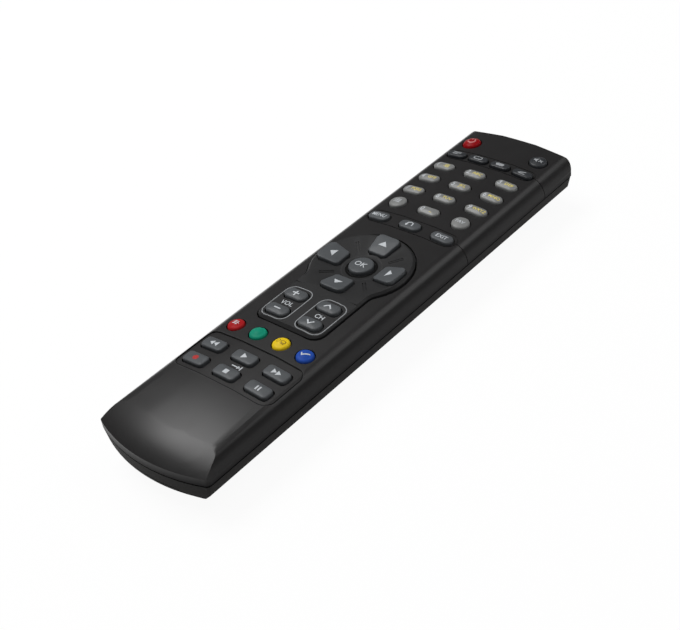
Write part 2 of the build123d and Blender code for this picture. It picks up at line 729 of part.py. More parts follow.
near_face = bay_near + contact_thick
far_face = bay_far - contact_thick
left_x, right_x = -cell_pitch / 2, cell_pitch / 2
resonator_x, resonator_y = resonator_place

parts = {
    "top_case": make_top_case(),
    "bottom_case": make_bottom_case(),
    "navigation_panel": make_panel(),
    "battery_cover": make_cover(),
    "keypad_mat": make_mat(),
    "circuit_board": make_board(),
    "controller_chip": make_chip(),
    "resonator": block(resonator_x - 3.7, resonator_x + 3.7, resonator_y - 1.5, resonator_y + 1.5,
                       board_z - 4.2, board_z),
    "reservoir_capacitor": make_capacitor(),
    "drive_transistor": make_transistor(),
    "infrared_led": make_led(),
    "infrared_window": make_window(),
    "left_cell": make_cell(left_x, near_face + leaf_reach + 0.1, 1),
    "right_cell": make_cell(right_x, far_face - leaf_reach - 0.1, -1),
    "cell_link": plate(left_x - contact_half, right_x + contact_half, near_face, 1)
    + leaf_spring(left_x, near_face, 1),
    "negative_contact": plate(right_x - contact_half, right_x + contact_half, far_face, -1)
    + leaf_spring(right_x, far_face, -1),
    "positive_contact": plate(left_x - contact_half, left_x + contact_half, far_face, -1),
    "case_screws": make_screws(),
    **keys,
}

for name, shape in parts.items():
    export_step(shape, f"parts/{name}.step")
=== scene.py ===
import json
import math

import bmesh
import bpy
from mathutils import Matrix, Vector
from mathutils.bvhtree import BVHTree


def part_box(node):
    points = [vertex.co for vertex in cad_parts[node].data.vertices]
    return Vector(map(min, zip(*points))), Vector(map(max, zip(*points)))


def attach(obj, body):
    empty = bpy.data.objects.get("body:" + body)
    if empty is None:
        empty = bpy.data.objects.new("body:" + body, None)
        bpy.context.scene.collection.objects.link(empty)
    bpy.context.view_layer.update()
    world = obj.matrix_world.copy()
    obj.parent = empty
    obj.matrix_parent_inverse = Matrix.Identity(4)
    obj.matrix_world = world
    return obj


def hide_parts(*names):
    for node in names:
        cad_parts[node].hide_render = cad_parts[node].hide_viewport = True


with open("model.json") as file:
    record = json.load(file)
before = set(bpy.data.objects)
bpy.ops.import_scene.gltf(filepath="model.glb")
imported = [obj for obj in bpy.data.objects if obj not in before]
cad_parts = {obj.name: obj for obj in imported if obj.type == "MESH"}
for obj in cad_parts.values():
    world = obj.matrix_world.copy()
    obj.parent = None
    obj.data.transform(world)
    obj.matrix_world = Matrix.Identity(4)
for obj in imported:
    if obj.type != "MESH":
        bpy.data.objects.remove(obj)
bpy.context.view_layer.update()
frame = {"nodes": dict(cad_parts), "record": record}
mm = 0.001      # sizes below are in millimetres, the stage's in metres
print("frame loaded:", len(frame["nodes"]), "nodes")


# Nodes as Python expressions, for shaders and Geometry Nodes alike

class Wire:
    def __init__(self, graph, socket):
        self.graph, self.socket = graph, socket

    def math(self, operation, *others):
        values = dict(enumerate((self, *others)))
        return self.graph.add("ShaderNodeMath", {"operation": operation}, values)

    def __add__(self, other): return self.math("ADD", other)
    def __radd__(self, other): return self.math("ADD", other)
    def __sub__(self, other): return self.math("SUBTRACT", other)
    def __rsub__(self, other): return (self * -1).math("ADD", other)
    def __mul__(self, other): return self.math("MULTIPLY", other)
    def __rmul__(self, other): return self.math("MULTIPLY", other)
    def __truediv__(self, other): return self.math("DIVIDE", other)
    def clamped(self): return self.math("MAXIMUM", 0.0).math("MINIMUM", 1.0)


class Graph:
    def __init__(self, tree):
        self.tree = tree

    def add(self, kind, settings=None, values=None, output=0):
        node = self.tree.nodes.new(kind)
        for name, value in (settings or {}).items():
            if name == "stops":
                ramp = node.color_ramp
                while len(ramp.elements) < len(value):
                    ramp.elements.new(0.5)
                for element, (place, colour) in zip(ramp.elements, value):
                    element.position, element.color = place, colour
            else:
                setattr(node, name, value)
        for name, value in (values or {}).items():
            if isinstance(value, Wire):
                self.tree.links.new(value.socket, node.inputs[name])
            else:
                node.inputs[name].default_value = value
        return Wire(self, node.outputs[output])

    def mixColours(self, factor, first, second):
        values = {0: factor, 6: first, 7: second}
        return self.add("ShaderNodeMix", {"data_type": "RGBA"}, values, output=2)

    def vector(self, x, y, z):
        return self.add("ShaderNodeCombineXYZ", None, {0: x, 1: y, 2: z})


# Finishes: moulded grain and a slight mottle, all on object coordinates

# grain: how strong its bumps are, grainSize: how wide, mottle: the share by which the colour drifts
# seam: the heights between which the lips of the seam get hardly any light; there the colour is darkened as
# painted shade
# dullBelow: the height under which the skin starts to lose its shine, and over how much it does
keyMould = dict(rough=0.46, shine=0.06, grain=0.06, grainSize=0.22, mottle=0.10)
# printAndPaintedLight: the surface of printed legends, also used by the lines of painted shade and painted
# highlight
printAndPaintedLight = dict(rough=0.55, shine=0.20, grain=0.02, grainSize=0.10, mottle=0.06)
finishes = {
    "caseSkin": dict(colour=(0.0135, 0.0129, 0.0131), rough=0.36, shine=0.28, grain=0.16, grainSize=0.34,
                     mottle=0.10, seam=(12.08, 12.92), dullBelow=(16.6, 3.4)),
    "baseSkin": dict(colour=(0.0205, 0.0196, 0.0190), rough=0.62, shine=0.05, grain=0.24, grainSize=0.36,
                     mottle=0.12, seam=(12.08, 12.92)),
    "coverSkin": dict(colour=(0.0205, 0.0196, 0.0190), rough=0.60, shine=0.06, grain=0.20, grainSize=0.36,
                      mottle=0.12),
    "panelSkin": dict(colour=(0.0160, 0.0160, 0.0165), rough=0.42, shine=0.24, grain=0.12, grainSize=0.30,
                      mottle=0.08),
    "slateKey": dict(keyMould, colour=(0.062, 0.0665, 0.071), rough=0.42, shine=0.20, grain=0.14),
    "duskKey": dict(keyMould, colour=(0.023, 0.025, 0.028), rough=0.40, shine=0.24, grain=0.14),
    "silverKey": dict(colour=(0.158, 0.161, 0.158), rough=0.38, shine=0.36, grain=0.10, grainSize=0.20,
                      mottle=0.08),
    "powerKey": dict(keyMould, colour=(0.215, 0.002, 0.004), rough=0.40, shine=0.08),
    "redKey": dict(keyMould, colour=(0.29, 0.009, 0.011)),
    "greenKey": dict(keyMould, colour=(0.006, 0.205, 0.128)),
    "yellowKey": dict(keyMould, colour=(0.63, 0.44, 0.010), shine=0.10, mottle=0.08),
    "blueKey": dict(keyMould, colour=(0.015, 0.058, 0.300)),
    "paleInk": dict(printAndPaintedLight, colour=(0.43, 0.45, 0.47)),
    "greyInk": dict(printAndPaintedLight, colour=(0.25, 0.26, 0.27)),
    "yellowInk": dict(printAndPaintedLight, colour=(0.60, 0.50, 0.13)),
    "roseInk": dict(printAndPaintedLight, colour=(0.46, 0.150, 0.150), rough=0.50),
    "redInk": dict(printAndPaintedLight, colour=(0.34, 0.022, 0.020), rough=0.50),
    # paintedShade: near-black, for lines of painted shade in a gap and at a step
    "paintedShade": dict(printAndPaintedLight, colour=(0.003, 0.003, 0.003), rough=0.60, shine=0.05),
    # paintedHighlight: lighter than the case, for lines of painted highlight along a step
    "paintedHighlight": dict(printAndPaintedLight, colour=(0.034, 0.034, 0.035)),
    "brownInk": dict(printAndPaintedLight, colour=(0.22, 0.14, 0.010), rough=0.50),
    "siliconeSheet": dict(colour=(0.060, 0.060, 0.063), rough=0.62, shine=0.20, grain=0.10, grainSize=0.60,
                          mottle=0.12),
    "epoxyBlack": dict(colour=(0.018, 0.018, 0.020), rough=0.50, shine=0.40, grain=0.10, grainSize=0.20,
                       mottle=0.08),
    "resonatorCase": dict(colour=(0.52, 0.20, 0.03), rough=0.36, shine=0.45, grain=0.05, grainSize=0.30,
                          mottle=0.12),
    "capacitorSleeve": dict(colour=(0.012, 0.016, 0.040), rough=0.24, shine=0.50, grain=0.03, grainSize=0.30,
                            mottle=0.06),
}


def newMaterial(name):
    material = bpy.data.materials.new(name)
    material.use_nodes = True
    graph = Graph(material.node_tree)
    shader = material.node_tree.nodes["Principled BSDF"]
    place = graph.add("ShaderNodeTexCoord", None, None, output=3)
    return material, graph, shader, place


# Noise whose bumps are about size millimetres across
def noise(graph, place, size, detail=2.0):
    values = {"Vector": place, "Scale": 1 / (size * mm), "Detail": detail}
    return graph.add("ShaderNodeTexNoise", None, values)


def feed(graph, shader, name, value):
    if isinstance(value, Wire):
        graph.tree.links.new(value.socket, shader.inputs[name])
    else:
        shader.inputs[name].default_value = value


# The bumps stand depth millimetres high
def bump(graph, height, depth):
    return graph.add("ShaderNodeBump", None, {"Height": height, "Strength": 1.0, "Distance": depth * mm})


# seamShade: the colour of the painted shade on the seam's lips; seamSteep: how sharply it sets in, per
# millimetre
skinSet = dict(grainDetail=3.0, cloudSize=9.0, roughDrop=0.07, grainRough=0.08, cloudRough=0.06,
               bumpDepth=0.02, seamShade=(0.002, 0.002, 0.002, 1.0), seamSteep=25, dullShine=0.04)


def plasticSkin(name, colour, rough, shine, grain, grainSize, mottle, seam=None, dullBelow=None):
    material, graph, shader, place = newMaterial(name)
    grains = noise(graph, place, grainSize, skinSet["grainDetail"])
    clouds = noise(graph, place, skinSet["cloudSize"])
    dark = (*(c * (1 - mottle) for c in colour), 1.0)
    light = (*(min(c * (1 + mottle), 1.0) for c in colour), 1.0)
    skin = graph.mixColours(clouds, dark, light)
    height = graph.add("ShaderNodeSeparateXYZ", None, {0: place}, output=2) / mm
    # Painted shade: the base colour goes dark on the lips of the seam
    if seam:
        steep = skinSet["seamSteep"]
        seamShadeMask = ((height - seam[0]) * steep).clamped() * ((seam[1] - height) * steep).clamped()
        skin = graph.mixColours(seamShadeMask, skin, skinSet["seamShade"])
    roughness = (rough - skinSet["roughDrop"]) + skinSet["grainRough"] * grains
    roughness = roughness + skinSet["cloudRough"] * clouds
    values = {
        "Base Color": skin, "Roughness": roughness,
        "Normal": bump(graph, grains, grain * skinSet["bumpDepth"]), "Specular IOR Level": shine}
    for socket, value in values.items():
        feed(graph, shader, socket, value)
    if dullBelow:
        dullValues = {**values, "Specular IOR Level": skinSet["dullShine"]}
        dull = graph.add("ShaderNodeBsdfPrincipled", None, dullValues)
        share = ((dullBelow[0] - height) / dullBelow[1]).clamped()
        shiny = Wire(graph, shader.outputs[0])
        both = graph.add("ShaderNodeMixShader", None, {0: share, 1: shiny, 2: dull})
        graph.tree.links.new(both.socket, graph.tree.nodes["Material Output"].inputs[0])
    return material


steelSet = dict(dark=(0.42, 0.42, 0.43, 1), light=(0.66, 0.66, 0.66, 1), streakSize=0.8, streakDetail=4.0,
                rough=0.22, roughDrift=0.2, depth=0.004)


def steel(name):
    material, graph, shader, place = newMaterial(name)
    streaks = noise(graph, place, steelSet["streakSize"], steelSet["streakDetail"])
    feed(graph, shader, "Base Color", graph.mixColours(streaks, steelSet["dark"], steelSet["light"]))
    feed(graph, shader, "Metallic", 1.0)
    feed(graph, shader, "Roughness", steelSet["rough"] + steelSet["roughDrift"] * streaks)
    feed(graph, shader, "Normal", bump(graph, streaks, steelSet["depth"]))
    return material


# Thin raised tracks round plain fields of lacquered board, over a fine weave
laminateSet = dict(field=(0.020, 0.115, 0.040, 1), track=(0.045, 0.190, 0.070, 1), pattern=14, trackWide=0.03,
                   fieldWide=0.4, fieldHigh=0.16, shift=0.5, weaveSize=0.5, weaveHeight=0.2,
                   rough=0.34, roughDrift=0.1, depth=0.03)


def laminate(name):
    material, graph, shader, place = newMaterial(name)
    tracks = graph.add("ShaderNodeTexBrick", {"offset": laminateSet["shift"]}, {
        "Vector": place, "Scale": 1 / (laminateSet["pattern"] * mm), "Mortar Size": laminateSet["trackWide"],
        "Brick Width": laminateSet["fieldWide"], "Row Height": laminateSet["fieldHigh"]}, output=1)
    weave = noise(graph, place, laminateSet["weaveSize"])
    feed(graph, shader, "Base Color", graph.mixColours(tracks, laminateSet["field"], laminateSet["track"]))
    feed(graph, shader, "Roughness", laminateSet["rough"] + laminateSet["roughDrift"] * weave)
    height = tracks + laminateSet["weaveHeight"] * weave
    feed(graph, shader, "Normal", bump(graph, height, laminateSet["depth"]))
    return material


epoxySet = dict(swirlSize=1.4, darker=0.8, rough=0.06, roughDrift=0.05)
clearFinishes = {
    "ledLens": dict(colour=(0.72, 0.76, 0.86), alpha=0.55),
    "windowTint": dict(colour=(0.030, 0.006, 0.010), alpha=0.93)}


def clearEpoxy(name, colour, alpha):
    material, graph, shader, place = newMaterial(name)
    swirls = noise(graph, place, epoxySet["swirlSize"])
    deep = (*(c * epoxySet["darker"] for c in colour), 1)
    feed(graph, shader, "Base Color", graph.mixColours(swirls, (*colour, 1), deep))
    feed(graph, shader, "Roughness", epoxySet["rough"] + epoxySet["roughDrift"] * swirls)
    feed(graph, shader, "Alpha", alpha)
    return material


# Plain shrink film: a dark can with one pale band near its end, start millimetres behind the middle
wrapSet = dict(pale=(0.55, 0.56, 0.58, 1), dark=(0.022, 0.060, 0.180, 1), start=81, length=49,
               paleTo=0.10, darkFrom=0.12, filmSize=2.5, rough=0.24, roughDrift=0.1, depth=0.02)


def cellWrap(name):
    material, graph, shader, place = newMaterial(name)
    pale, dark = wrapSet["pale"], wrapSet["dark"]
    stops = ((0.0, pale), (wrapSet["paleTo"], pale), (wrapSet["darkFrom"], dark), (1.0, dark))
    along = graph.add("ShaderNodeSeparateXYZ", None, {0: place}, output=1)
    share = (along + wrapSet["start"] * mm) / (wrapSet["length"] * mm)
    film = noise(graph, place, wrapSet["filmSize"])
    feed(graph, shader, "Base Color", graph.add("ShaderNodeValToRGB", {"stops": stops}, {0: share}))
    feed(graph, shader, "Roughness", wrapSet["rough"] + wrapSet["roughDrift"] * film)
    feed(graph, shader, "Normal", bump(graph, film, wrapSet["depth"]))
    return material


materials = {name: plasticSkin(name, **values) for name, values in finishes.items()}
materials["platedSteel"] = steel("platedSteel")
materials["boardLaminate"] = laminate("boardLaminate")
materials.update({name: clearEpoxy(name, **values) for name, values in clearFinishes.items()})
materials["cellWrap"] = cellWrap("cellWrap")

slotFinish = {
    "case_plastic": "caseSkin", "base_plastic": "baseSkin", "cover_plastic": "coverSkin",
    "panel_plastic": "panelSkin", "dark_key": "slateKey", "number_key": "silverKey", "red_key": "redKey",
    "green_key": "greenKey", "yellow_key": "yellowKey", "blue_key": "blueKey", "silicone": "siliconeSheet",
    "laminate": "boardLaminate", "black_epoxy": "epoxyBlack", "resonator_amber": "resonatorCase",
    "capacitor_sleeve": "capacitorSleeve", "led_lens": "ledLens", "window_tint": "windowTint",
    "cell_wrap": "cellWrap", "plated_steel": "platedSteel"}
nodeSlot = {row["node"]: row["material_slot"] for row in frame["record"]["subparts"]}
bodies = frame["record"]["behaviour"]["bodies"]
nodeBody = {node: body for body, members in bodies.items() for node in members}

for node, carried in frame["nodes"].items():
    carried.data.materials.clear()
    carried.data.materials.append(materials[slotFinish[nodeSlot[node]]])
print("finishes:", len(materials))


# Case pieces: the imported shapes, welded and shaded smooth up to a turn of so many degrees

shellSet = dict(weld=0.002, sliver=0.001, smoothTo=24)


def addPiece(name, mesh, body, finish=None, stands=()):
    piece = bpy.data.objects.new(name, mesh)
    bpy.context.scene.collection.objects.link(piece)
    if finish:
        mesh.materials.clear()
        mesh.materials.append(materials[finish])
    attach(piece, body)
    if stands:
        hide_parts(*stands)
    return piece


# Smooth over turns of up to so many degrees, and sharp past them
def shadeByAngle(mesh, degrees):
    work = bmesh.new()
    work.from_mesh(mesh)
    for face in work.faces:
        face.smooth = True
    for edge in work.edges:
        edge.smooth = len(edge.link_faces) == 2 and edge.calc_face_angle(0) < math.radians(degrees)
    work.to_mesh(mesh)
    work.free()


def weldedCopy(node):
    mesh = frame["nodes"][node].data.copy()
    mesh.name = node + "_shell"
    work = bmesh.new()
    work.from_mesh(mesh)
    bmesh.ops.remove_doubles(work, verts=work.verts, dist=shellSet["weld"] * mm)
    bmesh.ops.dissolve_degenerate(work, edges=work.edges, dist=shellSet["sliver"] * mm)
    work.to_mesh(mesh)
    work.free()
    shadeByAngle(mesh, shellSet["smoothTo"])
    return mesh


shells = {}
for node in ("top_case", "bottom_case", "navigation_panel", "battery_cover", "infrared_window"):
    slot = nodeSlot[node]
    finish = slotFinish[slot]
    shells[node] = addPiece(node + "_shell", weldedCopy(node), nodeBody[node], finish, (node,))
print("case pieces done")


# Key caps: one Geometry Nodes tree makes every cap as a closed solid with a rounded edge and a domed top

# edgeRings go over the rounded edge; startTurn keeps sines and cosines off zero; depth is the cap's height
capShape = dict(around=64, rings=15, edgeRings=5, startTurn=1e-4, weld=0.0005, depth=5.0)
capInputs = {
    "Half Length": 4.6, "Half Width": 2.3, "Corner": 2.3, "Low": 0.0, "Top": 3.0, "Edge": 0.4, "Dome": 0.2,
    "Lean": 0.0, "Rise": 0.0, "Widen": 0.0, "Bend": 0.0, "Bend Radius": 12.0, "Turn": 0.0}


def capTree():
    tree = bpy.data.node_groups.new("keyCap", "GeometryNodeTree")
    tree.interface.new_socket("Geometry", in_out="INPUT", socket_type="NodeSocketGeometry")
    for name in capInputs:
        tree.interface.new_socket(name, in_out="INPUT", socket_type="NodeSocketFloat")
    tree.interface.new_socket("Place", in_out="INPUT", socket_type="NodeSocketVector")
    tree.interface.new_socket("Finish", in_out="INPUT", socket_type="NodeSocketMaterial")
    tree.interface.new_socket("Geometry", in_out="OUTPUT", socket_type="NodeSocketGeometry")
    graph = Graph(tree)
    given = tree.nodes.new("NodeGroupInput")
    value = {name: Wire(graph, given.outputs[name]) for name in (*capInputs, "Place", "Finish")}

    columns, rings = capShape["around"] + 1, capShape["rings"]
    grid = graph.add("GeometryNodeMeshGrid", None, {
        "Size X": 1.0, "Size Y": 1.0, "Vertices X": columns, "Vertices Y": rings})
    where = graph.add("GeometryNodeInputPosition")
    across = graph.add("ShaderNodeSeparateXYZ", None, {0: where}, output=0)
    upwards = graph.add("ShaderNodeSeparateXYZ", None, {0: where}, output=1)
    angle = (across + 0.5) * (2 * math.pi) + capShape["startTurn"]
    ring = (upwards + 0.5) * (rings - 1)          # 0 the middle underneath, 1 the foot, 2 the wall's top
    edgeRings = capShape["edgeRings"]
    turn = ((ring - 2) / edgeRings).clamped() * (math.pi / 2)
    onTop = 1 - ((ring - 2 - edgeRings) / (rings - 3 - edgeRings)).clamped()
    below = ring.math("MINIMUM", 1.0)
    cosine, sine = angle.math("COSINE"), angle.math("SINE")
    corner = value["Corner"] - value["Edge"] * (1 - turn.math("COSINE"))
    spread = onTop * below
    x = spread * (cosine.math("SIGN") * (value["Half Length"] - value["Corner"]) + corner * cosine)
    y = spread * (sine.math("SIGN") * (value["Half Width"] - value["Corner"]) + corner * sine)
    crest = value["Top"] - value["Edge"] * (1 - turn.math("SINE")) - value["Dome"] * onTop * onTop
    crest = crest + value["Lean"] * x + value["Rise"] * y
    isTop = (ring - 1).clamped()
    z = value["Low"] * (1 - isTop) + crest * isTop
    x = x * (1 + value["Widen"] * y)
    reach = value["Bend Radius"] + y
    bent = (reach * reach - x * x).math("SQRT") - value["Bend Radius"]
    y = y + value["Bend"] * (bent - y)
    shaped = graph.add("GeometryNodeSetPosition", None, {
        "Geometry": grid, "Position": graph.vector(x * mm, y * mm, z * mm)})
    welded = graph.add("GeometryNodeMergeByDistance", None, {
        "Geometry": shaped, "Distance": capShape["weld"] * mm})
    placed = graph.add("GeometryNodeTransform", None, {
        "Geometry": welded, "Translation": value["Place"],
        "Rotation": graph.vector(0.0, 0.0, value["Turn"])})
    smooth = graph.add("GeometryNodeSetShadeSmooth", None, {"Geometry": placed})
    real = graph.add("GeometryNodeRealizeInstances", None, {"Geometry": smooth})
    finished = graph.add("GeometryNodeSetMaterial", None, {
        "Geometry": real, "Material": value["Finish"]})
    out = tree.nodes.new("NodeGroupOutput")
    tree.links.new(finished.socket, out.inputs[0])
    return tree


# Runs the tree once with these inputs and gives back a plain mesh
def bakeTree(tree, name, values):
    holder = bpy.data.objects.new(name, bpy.data.meshes.new(name))
    bpy.context.scene.collection.objects.link(holder)
    modifier = holder.modifiers.new("shape", "NODES")
    modifier.node_group = tree
    for item in tree.interface.items_tree:
        if item.in_out == "INPUT" and item.name in values:
            modifier[item.identifier] = values[item.name]
    evaluated = holder.evaluated_get(bpy.context.evaluated_depsgraph_get())
    mesh = bpy.data.meshes.new_from_object(evaluated)
    bpy.data.objects.remove(holder)
    mesh.name = name
    return mesh


# How far the edge is rounded and how high the dome stands, for each kind of key
keyKinds = {
    "digit": dict(Edge=0.85, Dome=0.38), "round": dict(Edge=0.80, Dome=0.35),
    "function": dict(Edge=0.6, Dome=0.20), "menu": dict(Edge=0.6, Dome=0.20),
    "power": dict(Edge=1.5, Dome=0.75), "mute": dict(Edge=0.9, Dome=0.35),
    "ok": dict(Edge=0.7, Dome=0.25), "arrow": dict(Edge=0.45, Dome=0.25),
    "rocker": dict(Edge=0.7, Dome=0.30), "colour": dict(Edge=1.1, Dome=0.55),
    "playback": dict(Edge=0.55, Dome=0.15)}
keyPlans = dict(
    margin=1.0, functionMargin=0.5,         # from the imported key's flange to its cap
    rockerCorner=2.2, playbackCorner=1.45,
    tiltedPast=7.6, tilt=0.08,              # outer keys lean with the crowned face
    arrowInner=8.3, arrowOuter=17.0, arrowHalfInner=3.7, arrowHalfOuter=5.0, arrowCorner=1.75,
    arrowDrop=1.7, arrowUnder=0.1)
arrowTurns = {"up_key": 0, "left_key": 90, "down_key": 180, "right_key": 270}
keyRows = {
    "function": [f"function_{i}_key" for i in (1, 2, 3, 4)],
    "digit": [f"digit_{i}_key" for i in range(10)],
    "round": ["list_key", "favourite_key"], "menu": ["menu_key", "back_key", "exit_key"],
    "power": ["power_key"], "mute": ["mute_key"], "ok": ["ok_key"], "arrow": list(arrowTurns),
    "rocker": ["volume_up_key", "volume_down_key", "channel_up_key", "channel_down_key"],
    "colour": ["red_key", "green_key", "yellow_key", "blue_key"],
    "playback": ["rewind_key", "play_key", "fast_forward_key", "record_key", "stop_key", "pause_key"]}
keyFinish = {"power_key": "powerKey", **{node: "duskKey" for node in ("mute_key", *keyRows["function"])}}


# Inputs of the cap's tree, in millimetres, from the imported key's own box
def keyValues(node, kind):
    low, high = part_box(node)
    low, high = low / mm, high / mm
    values = dict(capInputs, **keyKinds[kind])
    if kind == "arrow":
        okLow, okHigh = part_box("ok_key")
        centre = (okLow + okHigh) / 2 / mm
        middle = (keyPlans["arrowInner"] + keyPlans["arrowOuter"]) / 2
        half = (keyPlans["arrowHalfInner"] + keyPlans["arrowHalfOuter"]) / 2
        deep = (keyPlans["arrowOuter"] - keyPlans["arrowInner"]) / 2
        turn = math.radians(arrowTurns[node])
        values.update({
            "Half Length": half, "Half Width": deep, "Corner": keyPlans["arrowCorner"],
            "Widen": (keyPlans["arrowHalfOuter"] - half) / deep / half, "Bend": 1.0, "Bend Radius": middle,
            "Rise": keyPlans["arrowDrop"] / (2 * deep), "Turn": turn,
            "Top": high.z - keyPlans["arrowDrop"] / 2 - keyPlans["arrowUnder"]})
        x, y = centre.x - middle * math.sin(turn), centre.y + middle * math.cos(turn)
    else:
        margin = keyPlans["functionMargin" if kind == "function" else "margin"]
        half, deep = (high.x - low.x) / 2 - margin, (high.y - low.y) / 2 - margin
        corner = {"rocker": keyPlans["rockerCorner"], "playback": keyPlans["playbackCorner"]}.get(kind, deep)
        x, y = (low.x + high.x) / 2, (low.y + high.y) / 2
        lean = -math.copysign(keyPlans["tilt"], x) if abs(x) > keyPlans["tiltedPast"] else 0.0
        top = high.z - abs(lean) * half
        values.update({"Half Length": half, "Half Width": deep, "Corner": corner, "Lean": lean, "Top": top})
    values["Low"] = high.z - capShape["depth"]
    values["Place"] = (x * mm, y * mm, 0.0)
    return values


keyCaps, keyInputs = {}, {}
tree = capTree()
for kind, names in keyRows.items():
    for node in names:
        slot = nodeSlot[node]
        values = keyValues(node, kind)
        values["Finish"] = materials[keyFinish.get(node, slotFinish[slot])]
        mesh = bakeTree(tree, node + "_cap", values)
        keyInputs[node] = values
        keyCaps[node] = addPiece(node + "_cap", mesh, nodeBody[node], None, (node,))
print("key caps:", len(keyCaps))


# Printed legends, and lines of painted shade and painted highlight: flat shapes in millimetres, laid on the
# surface below them as thin raised layers

inkSet = dict(lift=0.022, sunk=0.05, cell=0.45, weld=0.004, fromAbove=30.0, mitreLimit=0.4,
              cornerSteps=7, discSteps=28, fontRatio=1.40, fontWeight=0.012, curveSteps=3)
inkCount = {"pieces": 0, "faces": 0}


def blockShape(x, y, width, height):
    u, v = width / 2, height / 2
    return [[(x - u, y - v), (x + u, y - v), (x + u, y + v), (x - u, y + v)]]


# Points towards +X before it is turned
def triangleShape(x, y, base, height, turn=0.0):
    c, s = math.cos(math.radians(turn)), math.sin(math.radians(turn))
    corners = [(-height / 2, -base / 2), (height / 2, 0), (-height / 2, base / 2)]
    return [[(x + c * u - s * v, y + s * u + c * v) for u, v in corners]]


def arcPoints(x, y, radius, start, end, steps):
    angles = [math.radians(start + (end - start) * i / steps) for i in range(steps + 1)]
    return [(x + radius * math.cos(a), y + radius * math.sin(a)) for a in angles]


def discShape(x, y, radius):
    return [arcPoints(x, y, radius, 0, 360, inkSet["discSteps"])[:-1]]


# A line of one width along the points, mitred at its corners
def strokeShape(points, width, closed=False):
    count = len(points)
    left, right = [], []
    for i, point in enumerate(points):
        here = Vector(point)
        before = Vector(points[i - 1]) if closed or i else None
        after = Vector(points[(i + 1) % count]) if closed or i < count - 1 else None
        ways = [(here - before).normalized()] if before else []
        ways += [(after - here).normalized()] if after else []
        way = sum(ways, Vector((0, 0))).normalized()
        normal = Vector((-way.y, way.x))
        side = Vector((-ways[0].y, ways[0].x))
        reach = width / 2 / max(normal.dot(side), inkSet["mitreLimit"])
        left.append(tuple(here + normal * reach))
        right.append(tuple(here - normal * reach))
    turns = range(count) if closed else range(count - 1)
    return [[right[i], right[(i + 1) % count], left[(i + 1) % count], left[i]] for i in turns]


def roundedLine(x, y, width, height, corner, stroke):
    points = []
    for sideX, sideY, start in ((1, 1, 0), (-1, 1, 90), (-1, -1, 180), (1, -1, 270)):
        middleX, middleY = x + sideX * (width / 2 - corner), y + sideY * (height / 2 - corner)
        points += arcPoints(middleX, middleY, corner, start, start + 90, inkSet["cornerSteps"])
    return strokeShape(points, stroke, closed=True)


# Words in the plain built-in font, with capitals so high, centred on x and y
def wordShape(words, x, y, height, squeeze=1.0):
    curve = bpy.data.curves.new("words", "FONT")
    curve.body, curve.size = words, height * inkSet["fontRatio"]
    curve.resolution_u, curve.offset = inkSet["curveSteps"], height * inkSet["fontWeight"]
    holder = bpy.data.objects.new("words", curve)
    bpy.context.scene.collection.objects.link(holder)
    mesh = bpy.data.meshes.new_from_object(holder.evaluated_get(bpy.context.evaluated_depsgraph_get()))
    bpy.data.objects.remove(holder)
    spread = [v.co.x for v in mesh.vertices]
    middle = (min(spread) + max(spread)) / 2
    places = [((v.co.x - middle) * squeeze + x, v.co.y - height / 2 + y) for v in mesh.vertices]
    shapes = [[places[i] for i in face.vertices] for face in mesh.polygons]
    bpy.data.meshes.remove(mesh)
    return shapes


# What ink is laid on: a piece's faces, ready for rays
def surfaceOf(piece):
    places = [v.co.copy() for v in piece.data.vertices]
    faces = [list(face.vertices) for face in piece.data.polygons]
    return BVHTree.FromPolygons(places, faces)


# Cuts the flat shapes into cells, drops them on the surface and gives them their thickness
def addInk(name, shapes, place, body, finish, surface):
    work = bmesh.new()
    for shape in shapes:
        corners = [work.verts.new(((place[0] + x) * mm, (place[1] + y) * mm, 0)) for x, y in shape]
        work.faces.new(corners)
    bmesh.ops.remove_doubles(work, verts=work.verts, dist=inkSet["weld"] * mm)
    for axis, way in ((0, (1, 0, 0)), (1, (0, 1, 0))):
        spread = [v.co[axis] for v in work.verts]
        low, high = min(spread), max(spread)
        cuts = int((high - low) / (inkSet["cell"] * mm))
        for i in range(cuts):
            point = Vector(way) * (low + (i + 0.5) * (high - low) / cuts)
            bmesh.ops.bisect_plane(work, geom=work.verts[:] + work.edges[:] + work.faces[:],
                                   plane_co=point, plane_no=way)
    bmesh.ops.triangulate(work, faces=work.faces[:])
    for vert in work.verts:
        start = Vector((vert.co.x, vert.co.y, inkSet["fromAbove"] * mm))
        hit = surface.ray_cast(start, Vector((0, 0, -1)))[0]
        if hit is None:
            raise ValueError(f"{name} runs off the surface below it")
        vert.co.z = hit.z - inkSet["sunk"] * mm
    raised = bmesh.ops.extrude_face_region(work, geom=work.faces[:], use_keep_orig=True)["geom"]
    for item in raised:
        if isinstance(item, bmesh.types.BMVert):
            item.co.z += (inkSet["sunk"] + inkSet["lift"]) * mm
    bmesh.ops.recalc_face_normals(work, faces=work.faces[:])
    mesh = bpy.data.meshes.new(name)
    work.to_mesh(mesh)
    work.free()
    mesh.materials.append(materials[finish])
    ink = bpy.data.objects.new(name, mesh)
    bpy.context.scene.collection.objects.link(ink)
    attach(ink, body)
    inkCount["pieces"] += 1
    inkCount["faces"] += len(mesh.polygons)


